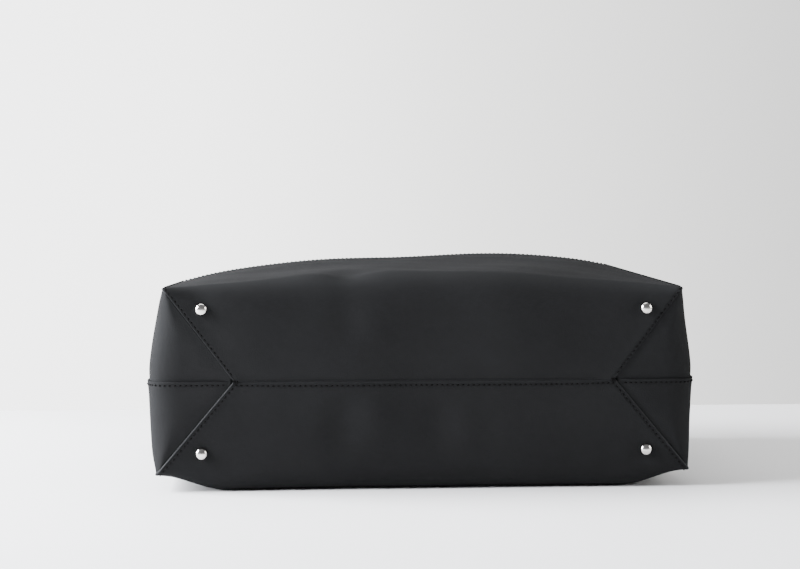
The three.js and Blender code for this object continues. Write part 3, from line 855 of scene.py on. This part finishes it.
# Where each handle lies at rest; fall is how far down to the table it has come, along its reach
HANDLES = {
    "front": dict(spread=76.0, ring_z=160.0, ring_tilt=-75.0, loop_tilt=-62.0, reach=150.0,
                  fall=((0, 0.28, 0.58, 1), (0, 0.47, 0.86, 1))),
    "back": dict(spread=98.0, ring_z=9.5, ring_tilt=-2.0, loop_tilt=-2.0, reach=196.0,
                 fall=((0, 0.28, 0.58, 1), (0, 0.7, 1, 1))),
}
ARCH = [(1, 0.12), (0.96, 0.36), (0.86, 0.6), (0.62, 0.82), (0.3, 0.96), (0, 1)]
NECK = 24.0  # bar to end of the loop that holds the handle
FLOOR = 7.0  # height of a handle's middle on the table
ROLL = 6.5  # radius of the roll
FLAT_END = (8.6, 3.9)  # half width and half thickness of its flattened ends


def away(origin, tilt, distance):
    a = math.radians(tilt)
    return (origin[0] + distance * math.cos(a), origin[1] + distance * math.sin(a))


def outer_bar(spec):
    """The (y, z) of the ring bar that the handle's loop goes round."""
    return away((RING_Y, spec["ring_z"]), spec["ring_tilt"], RING_PITCH)


def handle_half(spec):
    """The right half of a handle's centre line, from just inside its loop to the top of the arch."""
    start, near, lead = (away(outer_bar(spec), spec["loop_tilt"], NECK + more) for more in (-7, 2, 14))
    points = [(spec["spread"], *start), (spec["spread"], *near)]
    for w, t in ARCH:
        along = (t - ARCH[0][1]) / (1 - ARCH[0][1])
        drop = np.interp(along, *spec["fall"])
        height = lead[1] + (FLOOR - lead[1]) * drop
        points.append((w * spec["spread"], lead[0] + along * spec["reach"], height))
    return np.array(points)


def handle_plane(path, tangent, spread):
    """Unit normals of the handle's own leaning plane: square to X and to the way the handle falls."""
    first_half = (np.arange(len(path)) < len(path) / 2)[:, None]
    view = np.gradient(path[:, 1:], axis=0) * np.where(first_half, 1, -1)
    top = np.abs(path[:, 0]) < 0.45 * spread
    held = view[~top]
    middle = len(held) // 2
    view[top] = np.where(first_half[top], held[middle - 1], held[middle])
    width = 9
    padded_view = np.pad(unit(view), ((width // 2, width // 2), (0, 0)), mode="edge")
    kernel = np.ones(width) / width
    view = unit(np.stack([np.convolve(padded_view[:, i], kernel, "valid") for i in range(2)], -1))
    plane = np.stack([np.zeros(len(path)), -view[:, 1], view[:, 0]], -1)
    return unit(plane - tangent * np.sum(plane * tangent, -1, keepdims=True))


def rolled_handle(side):
    """A handle rolled round a cord, flattened at its ends, with a raised seam and two stitch rows inside."""
    spec = HANDLES[side]
    half = handle_half(spec)
    path = catmull(np.concatenate([half, half[-2::-1] * np.array([-1, 1, 1])]))
    reach = length_along(path)
    from_end = np.minimum(reach, reach[-1] - reach)
    tangent = unit(np.gradient(path, axis=0))
    plane = handle_plane(path, tangent, spec["spread"])
    inner = unit(np.cross(plane, tangent))
    inner *= -np.sign(np.sum(inner * (path - path.mean(0)), -1, keepdims=True))
    grown = smooth((from_end - 3) / 22)
    wide = FLAT_END[0] + (ROLL - FLAT_END[0]) * grown
    deep = FLAT_END[1] + (ROLL - FLAT_END[1]) * grown
    end = rounded(from_end, 1.6, 0.16)
    a = np.linspace(0, 2 * math.pi, 32, endpoint=False)
    off_seam = np.abs((a + math.pi) % (2 * math.pi) - math.pi)
    stitch_turn = 0.42
    ridge = 1 + 0.13 * bell(off_seam, 0.16) - 0.035 * bell(off_seam - stitch_turn, 0.16)
    wave = 1 + 0.012 * np.sin(reach / 9.0)[:, None] * np.sin(a * 2 + reach[:, None] / 40)
    cos = np.cos(a)[None, :, None] * (wide * end)[:, None, None] * inner[:, None]
    sin = np.sin(a)[None, :, None] * (deep * end)[:, None, None] * plane[:, None]
    sections = path[:, None] + (cos + sin) * (ridge[None] * wave)[..., None]
    body = node = f"handle_{side}"
    make_mesh(f"rolled_handle_{side}", swept(sections), LEATHER, body, node)
    runs = []
    keep = from_end > 5
    for turn in (stitch_turn, -stitch_turn):
        offset = math.cos(turn) * wide[:, None] * inner + math.sin(turn) * deep[:, None] * plane
        runs.append(stitch_run((path + offset * 0.965)[keep], unit(offset)[keep], radius=0.4))
    sewn(f"stitches_handle_{side}", runs, body)


def make_handles():
    for side, spec in HANDLES.items():
        rolled_handle(side)
        for sign, across in ((-1, "left"), (1, "right")):
            which = f"{side}_{across}"
            x = sign * spec["spread"]
            origin = (x, RING_Y, spec["ring_z"])
            held = (x, *outer_bar(spec))
            strap_loop(f"handle_tab_{which}", "bag", origin, TAB_REACH, TAB_LAYER)
            wire_ring(f"ring_{which}", f"rings_{side}", origin, spec["ring_tilt"])
            strap_loop(f"handle_loop_{which}", f"handle_{side}", held, NECK, LOOP_LAYER, spec["loop_tilt"])


def make_strap_rings():
    for across in ("left", "right"):
        ring = f"strap_ring_{across}"
        origin = (cad_box_of(ring)[0][0], RING_Y, ZIP_Z)
        strap_loop(f"strap_tab_{across}", "bag", origin, TAB_REACH, TAB_LAYER, sideways=True)
        wire_ring(ring, ring, origin, pitch=20.0, corner=3.4, sideways=True)


# ---------- zip

def soft_plate(name, node, material, body, near, far, half_x, y, thick, wave=0.35):
    """A plate across the mouth between two z edges, the far one a number or an array along its 120 x."""
    x = np.linspace(-half_x, half_x, 120)
    edge = [0, 0.006, 0.02, 0.04]
    v = np.array([*edge, *np.linspace(0.08, 0.92, 15), *(1 - e for e in edge[::-1])])[:, None]
    span = np.full(120, far - near)[None]
    z = near + span * v
    from_edge = np.minimum(np.minimum(v, 1 - v) * np.abs(span), (half_x - np.abs(x))[None] + 0.05)
    half = thick / 2 * rounded(from_edge, 0.8, 0.05)
    lift = wave * np.sin(x / 27 + 0.7)[None] * np.sin(math.pi * v) * np.sin(z / 19)
    middle = y + thick / 2 + lift
    xs = np.broadcast_to(x, z.shape)
    sheet = closed_sheet(np.stack([xs, middle + half, z], -1), np.stack([xs, middle - half, z], -1))
    make_mesh(name, sheet, material, body, node)


def straight_stitches(name, rows, body, pitch=3.2):
    """Stitch rows from (start, end, normal)."""
    runs = []
    t = np.linspace(0, 1, 80)[:, None]
    for start, end, normal in rows:
        path = np.array(start) * (1 - t) + np.array(end) * t
        normals = np.tile(np.array(normal, float), (80, 1))
        runs.append(stitch_run(path, normals, pitch=pitch, radius=FINE_STITCH))
    sewn(name, runs, body)


def zip_tooth(x, sign):
    """One metal tooth clamped on the tape's edge: a block with a narrower head over the centre line."""
    profile = [(3.5, 0.75), (2.2, 0.75), (1.5, 0.55), (0.4, 0.55), (-0.5, 0.62), (-0.9, 0.4)]
    points = []
    for reach, half in profile:
        tall = 0.95 if reach > 1 else 0.75
        for dx, dy in ((-1, -1), (1, -1), (1, 1), (-1, 1)):
            points.append((x + dx * half, ZIP_Y - 0.7 + dy * tall, ZIP_Z + sign * reach))
    faces = tube_faces(len(profile), 4)
    return points, faces if sign < 0 else [(a, d, c, b) for a, b, c, d in faces]


def facing_edge(side, sign):
    """The z of the gusset's outer edge along x, where it meets the facing."""
    level = TOP - HEM_Y + ZIP_Y
    x = np.linspace(-ZIP_HALF, ZIP_HALF, 120)
    reach = shell(side, 1.0, level, inset=FACING_IN)[..., 0]
    return shell(side, x / reach, np.full_like(x, level), inset=FACING_IN)[..., 2] - sign * 0.9


# The closure's lines, as distances in z from the middle of the zip
HINGE_OUT = 59.6
COVER_OUT = (6.2, 57.8)  # edges of a hinged panel
TAPE_OUT = (2.9, 14.0)  # edges of a tape
ROWS_OUT = (8.4, 55.4)  # stitch rows of a hinged panel
PLATE = 1.6  # thickness of gussets and hinged panels
TAPE_THICK = 0.8
TOOTH_PITCH = 3.0
TOOTH_COUNT = 123


def make_zip():
    """For each side of the mouth: a fixed gusset, and the hinged half with its panel, tape and teeth."""
    for side, sign in (("front", 1), ("back", -1)):
        body = f"zip_half_{side}"
        hinge = ZIP_Z + sign * HINGE_OUT
        cover, tape, rows = ([ZIP_Z + sign * out for out in line] for line in (COVER_OUT, TAPE_OUT, ROWS_OUT))
        soft_plate(f"gusset_{side}", f"zip_gusset_{side}", LEATHER, "bag",
                   hinge, facing_edge(side, sign), ZIP_HALF, ZIP_Y, PLATE, wave=0.15)
        soft_plate(f"zip_cover_{side}", f"zip_panel_{side}", LEATHER, body, *cover, ZIP_HALF, ZIP_Y, PLATE)
        soft_plate(f"woven_tape_{side}", f"zip_tape_{side}", TAPE, body,
                   *tape, ZIP_HALF + 2, ZIP_Y - 1.1, TAPE_THICK, wave=0.0)
        first = -ZIP_HALF - 1 + TOOTH_PITCH * (0.25 if sign > 0 else 0.75)
        teeth = [zip_tooth(first + TOOTH_PITCH * k, sign) for k in range(TOOTH_COUNT)]
        make_mesh(f"tooth_row_{side}", joined(teeth), TEETH_METAL, body, f"zip_teeth_{side}", soft=False)
        y = ZIP_Y + PLATE + 0.02
        edge = ZIP_HALF - 3
        near, far, fixed = (((-edge, y, z), (edge, y, z), (0, 1, 0)) for z in (*rows, hinge + sign * 2.2))
        straight_stitches(f"stitches_zip_{side}", [near, far], body)
        straight_stitches(f"stitches_gusset_{side}", [fixed], "bag")


def hinge_piping():
    """Thin piping that covers the fold between each fixed strip and its zip panel."""
    for side, sign in (("front", 1), ("back", -1)):
        x = np.linspace(-ZIP_HALF + 1, ZIP_HALF - 1, 90)
        z = ZIP_Z + sign * (HINGE_OUT - 1)
        path = np.stack([x, np.full(90, ZIP_Y + PLATE / 2), np.full(90, z)], -1)
        sections = tube_sections(path, (0, 1, 0), 1.35, sides=12)
        make_mesh(f"hinge_piping_{side}", swept(sections), LEATHER)


def pull_tab():
    """The leather tab on the zip's pull: two layers with rounded corners, stitched along both sides."""
    centre, half = cad_box_of("zip_pull_tab")
    corner = 4.0
    v, u = np.meshgrid(np.linspace(-1, 1, 36), np.linspace(-1, 1, 15), indexing="ij")
    from_end = (1 - np.abs(v)) * half[2]
    width = half[0] - corner * (1 - rounded(from_end, corner))
    width = np.where(v > 0, width * (1 - 0.25 * v**2), width)
    x = u * width
    thick = half[1] * rounded(np.minimum(width - np.abs(x), from_end), 1.1, 0.08)
    outer, inner = (np.stack([centre[0] + x, centre[1] + face * thick, centre[2] + v * half[2]], -1)
                    for face in (1, -1))
    make_mesh("stitched_pull_tab", closed_sheet(outer, inner), LEATHER, "pull", "zip_pull_tab")
    rows = []
    for side in (1, -1):
        y = centre[1] + side * (half[1] - 0.02)
        for sx in (-1, 1):
            start = (centre[0] + sx * (half[0] - 2.4), y, centre[2] - half[2] + 5)
            end = (centre[0] + sx * (half[0] - 3.4), y, centre[2] + half[2] - 5)
            rows.append((start, end, (0, side, 0)))
    straight_stitches("stitches_pull_tab", rows, "pull", pitch=2.6)


def bevelled(node, width):
    """Softens a rigid CAD part's edges."""
    edge = frame["nodes"][node].modifiers.new("edge", "BEVEL")
    edge.width = width * MM
    edge.segments = 2
    edge.limit_method = "ANGLE"
    edge.angle_limit = math.radians(35)


# ---------- pockets

def pocket(node, side, half, low, high, depth, toe, pinch, gather):
    """A patch pocket on the lining: it swells by depth within toe of its foot, and its mouth is gathered."""
    u, v = np.meshgrid(np.linspace(-1, 1, 60), np.linspace(0, 1, 40))
    base = shell(side, u * half, low + (high - low) * v, inset=4.4, lift=8.2, softer=4.0)
    puff = (1 - u**4) * smooth(v / toe) * (1 - pinch * v * v)
    folds = gather * np.sin((u + 1) / 2 * math.pi * 17) * smooth((v - 0.55) / 0.45) * puff
    hem = 0.5 * bell(v - 0.985, 0.015) - 0.25 * bell(v - 0.93, 0.012)
    layers = []
    for extra in (1.0 + hem, -hem):
        out = depth * puff + extra + folds
        points = base.copy()
        if side == "back":
            points[..., 2] += out
        else:
            points[..., 0] -= np.sign(points[..., 0]) * out
        layers.append(points)
    make_mesh(f"cloth_{node}", closed_sheet(*layers), LINING, node=node)


def make_pockets():
    for side in ("left", "right"):
        pocket(f"bottle_pocket_{side}", side, 0.8, 98.0, 240.0, 58.0, 0.2, 0.12, 0.7)
    pocket("slip_pocket", "back", 0.55, 105.0, 235.0, 11.0, 0.25, 0.0, 0.0)


# ---------- build the bag

for panel_side in ("front", "back"):
    main_panel(panel_side)
    facing(panel_side, 0.97)
    hem_fold(panel_side)
    lining_sheet(panel_side, 0.98)
for panel_side in ("left", "right"):
    side_half(panel_side, 1)
    side_half(panel_side, -1)
    facing(panel_side, 0.94)
    hem_fold(panel_side)
    lining_sheet(panel_side, 0.94)
base_stitches()
hem_stitches()
bar_tacks()
junction_scraps()
make_feet()
make_handles()
make_strap_rings()
make_zip()
hinge_piping()
pull_tab()
make_pockets()
for rigid, bevel_width in (("zip_slider", 0.35), ("zip_pull", 0.3), ("base_board", 0.4),
                           ("zip_end_left", 0.3), ("zip_end_right", 0.3)):
    bevelled(rigid, bevel_width)

for subpart in frame["record"]["subparts"]:
    node = frame["nodes"][subpart["node"]]
    if not node.hide_render:
        node.material_slots[0].material = SLOT_MATERIAL[subpart["material_slot"]]


# ---------- floor, light, camera

# metres; the far edge lies just behind the bag's handles
TABLE_HALF_X = 3.0
TABLE_NEAR = -3.0
TABLE_FAR = 0.45
TABLE_THICK = 0.04


def make_table():
    """A white table top with softened edges."""
    material, tree, coords, shader = new_material("white_table")
    mottle(tree, shader, noise(tree, coords, 3.0, 2.0), gray(0.86), gray(0.89))
    shader.inputs["Roughness"].default_value = 0.6
    ends = [(-1, TABLE_NEAR), (1, TABLE_NEAR), (1, TABLE_FAR), (-1, TABLE_FAR)]
    points = [(end * TABLE_HALF_X, y, z) for z in (0.0, -TABLE_THICK) for end, y in ends]
    faces = [(0, 1, 2, 3), (7, 6, 5, 4), (0, 4, 5, 1), (1, 5, 6, 2), (2, 6, 7, 3), (3, 7, 4, 0)]
    table = mesh_object("table", points, faces, material)
    edge = table.modifiers.new("edge", "BEVEL")
    edge.width = 0.004
    edge.segments = 3


# The surroundings by direction: the wall behind the bag from left to right, and the dimmer room before it
WORLD_STRENGTH = 5.0
WALL = [(0.0, (1.0, 1.0, 1.02, 1)), (0.35, gray(0.8)), (0.6, (0.52, 0.52, 0.515, 1)), (1.0, gray(0.2))]
ROOM = [(0.0, (0.16, 0.165, 0.175, 1)), (0.5, (0.09, 0.09, 0.092, 1)), (1.0, (0.14, 0.14, 0.138, 1))]
CEILING = (0.05, 0.05, 0.052, 1)


def mapped(tree, value, low, high):
    """0 to 1 as the value goes from low to high."""
    node = shader_node(tree, "MapRange", {"Value": value}, {"From Min": low, "From Max": high})
    node.interpolation_type = "SMOOTHSTEP"
    return node.outputs["Result"]


def make_world():
    """A pale wall behind the bag, brighter towards the window on the left, and a dimmer room before it."""
    world = bpy.data.worlds.new("studio")
    bpy.context.scene.world = world
    world.use_nodes = True
    tree = world.node_tree
    parts = tree.nodes.new("ShaderNodeSeparateXYZ")
    tree.links.new(tree.nodes.new("ShaderNodeTexCoord").outputs["Generated"], parts.inputs["Vector"])
    x, y, z = (parts.outputs[axis] for axis in "XYZ")
    wall = ramp(tree, mapped(tree, x, -0.45, 0.55), WALL)
    room = ramp(tree, mapped(tree, x, -1.0, 1.0), ROOM)
    blend, dim = tree.nodes.new("ShaderNodeMix"), tree.nodes.new("ShaderNodeMix")
    blend.data_type = dim.data_type = "RGBA"
    tree.links.new(mapped(tree, y, -0.1, 0.5), blend.inputs["Factor"])
    tree.links.new(room, blend.inputs["A"])
    tree.links.new(wall, blend.inputs["B"])
    tree.links.new(mapped(tree, z, 0.15, 0.3), dim.inputs["Factor"])
    tree.links.new(blend.outputs["Result"], dim.inputs["A"])
    dim.inputs["B"].default_value = CEILING
    background = tree.nodes["Background"]
    background.inputs["Strength"].default_value = WORLD_STRENGTH
    tree.links.new(dim.outputs["Result"], background.inputs["Color"])


def area_light(name, place, target, size, power, color):
    light = bpy.data.lights.new(name, "AREA")
    light.shape = "RECTANGLE"
    light.size, light.size_y = size
    light.energy = power
    light.color = color
    lamp = in_scene(name, light)
    lamp.location = place
    lamp.rotation_euler = (Vector(target) - Vector(place)).to_track_quat("-Z", "Y").to_euler()


def make_camera():
    """A short telephoto view of the base, from a little left of its middle and just above the bag's top."""
    camera = bpy.data.cameras.new("camera")
    camera.lens = 68.5
    camera.sensor_width = 36.0
    holder = in_scene("camera", camera)
    holder.location = (-0.112, BASE_Y * MM - 1.144, 0.183)
    holder.rotation_euler = (math.radians(90 - 1.37), 0, math.radians(-4.6))
    bpy.context.scene.camera = holder


make_table()
make_world()
area_light("window", (-1.5, -0.1, 0.8), (0, -0.05, 0.08), (1.2, 1.1), 250, (0.94, 0.955, 1.0))
area_light("ceiling", (-0.2, 0.9, 2.3), (0, 0, 0.1), (2.0, 1.6), 44, (1.0, 1.0, 1.0))
area_light("right_fill", (2.3, -0.3, 1.0), (0, 0, 0.08), (1.6, 1.4), 50, (1.0, 0.99, 0.97))
make_camera()
